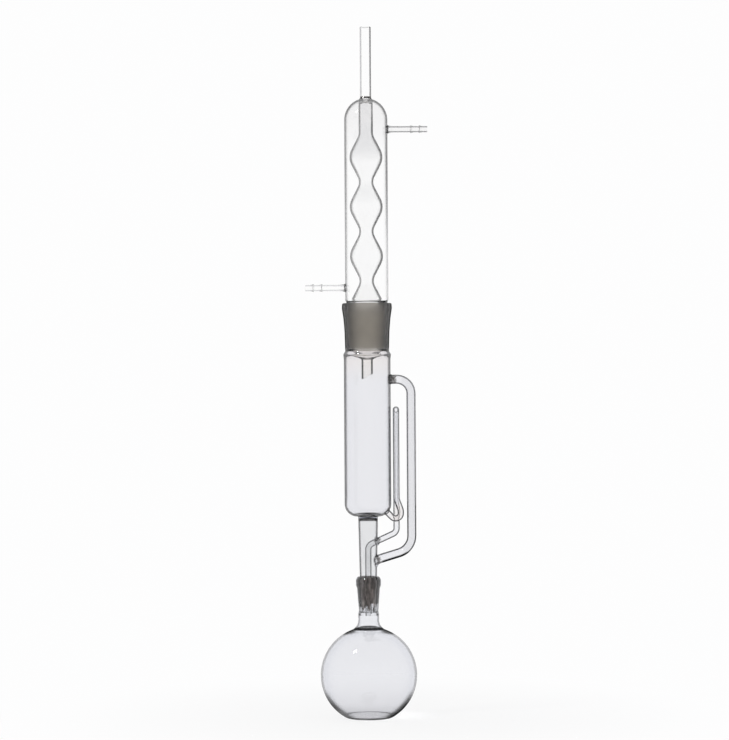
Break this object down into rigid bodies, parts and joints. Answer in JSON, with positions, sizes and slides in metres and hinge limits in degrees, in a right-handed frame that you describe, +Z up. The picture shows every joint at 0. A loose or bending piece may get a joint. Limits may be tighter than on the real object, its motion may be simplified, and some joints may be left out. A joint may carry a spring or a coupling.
{
  "type": "soxhlet extractor",
  "caption": "Glass extraction set: flat-bottomed round flask, siphon extractor with vapour arm, and bulbed water-jacketed condenser, stacked in tapered ground joints.",
  "frame": {"origin": "middle of the flask's flat foot, on the common axis of the three pieces", "axes": "+Z up along the common axis, +X towards the vapour arm and the upper hose connection"},
  "size_m": [0.134, 0.105, 0.7537],
  "materials": {
    "clear_glass": "clear blown borosilicate glass, ground matt at the joints"
  },
  "bodies": {
    "flask": {"flask": "clear_glass"},
    "extractor": {"extractor": "clear_glass"},
    "condenser": {"condenser": "clear_glass"}
  },
  "joints": [
    {"name": "extractor_turn", "type": "hinge", "parent": "flask", "child": "extractor", "pos_m": [0, 0, 0.1537], "axis": [0, 0, 1], "continuous": true},
    {"name": "condenser_turn", "type": "hinge", "parent": "extractor", "child": "condenser", "pos_m": [0, 0, 0.4522], "axis": [0, 0, 1], "continuous": true}
  ]
}
